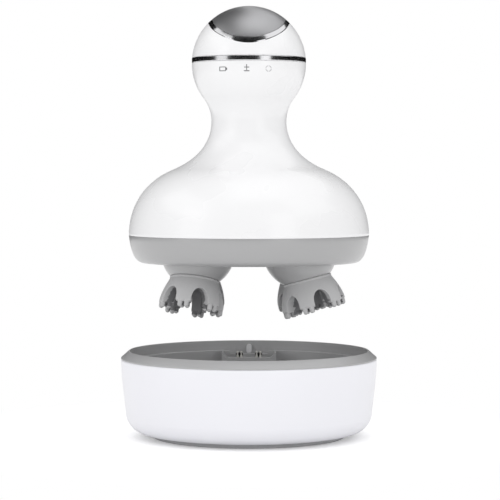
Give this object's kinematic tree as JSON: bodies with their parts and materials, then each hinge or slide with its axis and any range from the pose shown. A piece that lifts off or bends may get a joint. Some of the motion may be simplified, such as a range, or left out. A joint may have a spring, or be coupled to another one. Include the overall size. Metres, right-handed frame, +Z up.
{
  "type": "electric scalp massager",
  "caption": "Hand-held scalp massager with a ball grip and turning silicone claws under a bell-shaped body, lifted off its round charging base.",
  "frame": {"origin": "middle of the charging base, on the surface it stands on", "axes": "+Z up, +X to the user's right, -Y towards the front, the side with the charge signs"},
  "size_m": [0.1178, 0.1178, 0.1981],
  "materials": {
    "shell_white": "polished moulded ABS, cool white",
    "body_white": "polished moulded ABS, white",
    "housing_grey": "fine satin moulded ABS, mid grey",
    "liner_grey": "fine satin moulded ABS, mid grey",
    "foot_rubber": "matt rubber",
    "seal_rubber": "matt rubber",
    "claw_silicone": "soft silicone, satin grey",
    "bright_chrome": "bright plated trim",
    "button_silver": "satin silver paint",
    "inner_plastic": "plain moulded, dark",
    "gear_plastic": "natural acetal",
    "steel": "plain machined",
    "brass": "turned",
    "gold_contact": "gold plated",
    "circuit_board": "fibreglass board with green mask",
    "cell_wrap": "shrink-wrapped cell, plain",
    "light_guide": "clear guide"
  },
  "bodies": {
    "base": {"base_shell": "shell_white", "base_liner": "liner_grey", "base_foot": "foot_rubber", "base_screws": "steel", "usb_board": "circuit_board", "usb_socket": "steel", "charge_board": "circuit_board", "pin_carrier": "inner_plastic", "pin_barrels": "gold_contact"},
    "massager": {"lower_housing": "housing_grey", "upper_housing": "body_white", "housing_seal": "seal_rubber", "case_screws": "steel", "contact_pads": "gold_contact", "bearing_plate": "inner_plastic", "gear_cover": "inner_plastic", "shaft_seals": "seal_rubber", "lower_bushes": "brass", "upper_bushes": "brass", "drive_bush": "brass", "plate_screws": "steel", "cover_screws": "steel", "gearhead": "steel", "motor": "steel", "motor_sleeve": "seal_rubber", "battery_cell": "cell_wrap", "cell_holder": "inner_plastic", "control_board": "circuit_board", "board_screws": "steel", "button_switch": "inner_plastic", "indicator_board": "circuit_board", "light_guides": "light_guide", "trim_ring": "bright_chrome", "top_cover": "body_white", "button_bezel": "bright_chrome"},
    "button": {"power_button": "button_silver", "switch_plunger": "inner_plastic"},
    "drive": {"drive_gear": "gear_plastic", "motor_shaft": "steel"},
    "head_front_left": {"turret_front_left": "housing_grey", "shaft_front_left": "steel", "gear_front_left": "gear_plastic", "claw_front_left": "claw_silicone"},
    "head_front_right": {"turret_front_right": "housing_grey", "shaft_front_right": "steel", "gear_front_right": "gear_plastic", "claw_front_right": "claw_silicone"},
    "head_back_left": {"turret_back_left": "housing_grey", "shaft_back_left": "steel", "gear_back_left": "gear_plastic", "claw_back_left": "claw_silicone"},
    "head_back_right": {"turret_back_right": "housing_grey", "shaft_back_right": "steel", "gear_back_right": "gear_plastic", "claw_back_right": "claw_silicone"},
    "contact_1": {"pin_1": "gold_contact"},
    "contact_2": {"pin_2": "gold_contact"},
    "contact_3": {"pin_3": "gold_contact"},
    "contact_4": {"pin_4": "gold_contact"}
  },
  "joints": [
    {"name": "massager_lift", "type": "slide", "parent": "base", "child": "massager", "axis": [0, 0, 1], "range_m": [-0.0458, 0.06]},
    {"name": "button_press", "type": "slide", "parent": "massager", "child": "button", "axis": [0, 0, -1], "range_m": [0, 0.0008], "stiffness_N_per_m": 1500, "springref_m": -0.0006},
    {"name": "drive_turn", "type": "hinge", "parent": "massager", "child": "drive", "pos_m": [0, 0, 0.10041], "axis": [0, 0, 1], "continuous": true},
    {"name": "head_turn_front_left", "type": "hinge", "parent": "massager", "child": "head_front_left", "pos_m": [-0.023, -0.0185, 0.10041], "axis": [0, 0, 1], "continuous": true},
    {"name": "head_turn_front_right", "type": "hinge", "parent": "massager", "child": "head_front_right", "pos_m": [0.023, -0.0185, 0.10041], "axis": [0, 0, 1], "continuous": true},
    {"name": "head_turn_back_left", "type": "hinge", "parent": "massager", "child": "head_back_left", "pos_m": [-0.023, 0.0185, 0.10041], "axis": [0, 0, 1], "continuous": true},
    {"name": "head_turn_back_right", "type": "hinge", "parent": "massager", "child": "head_back_right", "pos_m": [0.023, 0.0185, 0.10041], "axis": [0, 0, 1], "continuous": true},
    {"name": "pin_press_1", "type": "slide", "parent": "base", "child": "contact_1", "axis": [0, 0, -1], "range_m": [0, 0.0012], "stiffness_N_per_m": 500, "springref_m": -0.0004},
    {"name": "pin_press_2", "type": "slide", "parent": "base", "child": "contact_2", "axis": [0, 0, -1], "range_m": [0, 0.0012], "stiffness_N_per_m": 500, "springref_m": -0.0004},
    {"name": "pin_press_3", "type": "slide", "parent": "base", "child": "contact_3", "axis": [0, 0, -1], "range_m": [0, 0.0012], "stiffness_N_per_m": 500, "springref_m": -0.0004},
    {"name": "pin_press_4", "type": "slide", "parent": "base", "child": "contact_4", "axis": [0, 0, -1], "range_m": [0, 0.0012], "stiffness_N_per_m": 500, "springref_m": -0.0004}
  ],
  "couplings": [
    {"joint": "head_turn_front_left", "follows": "drive_turn", "ratio": -1.1071},
    {"joint": "head_turn_front_right", "follows": "drive_turn", "ratio": -1.1071},
    {"joint": "head_turn_back_left", "follows": "drive_turn", "ratio": -1.1071},
    {"joint": "head_turn_back_right", "follows": "drive_turn", "ratio": -1.1071}
  ]
}
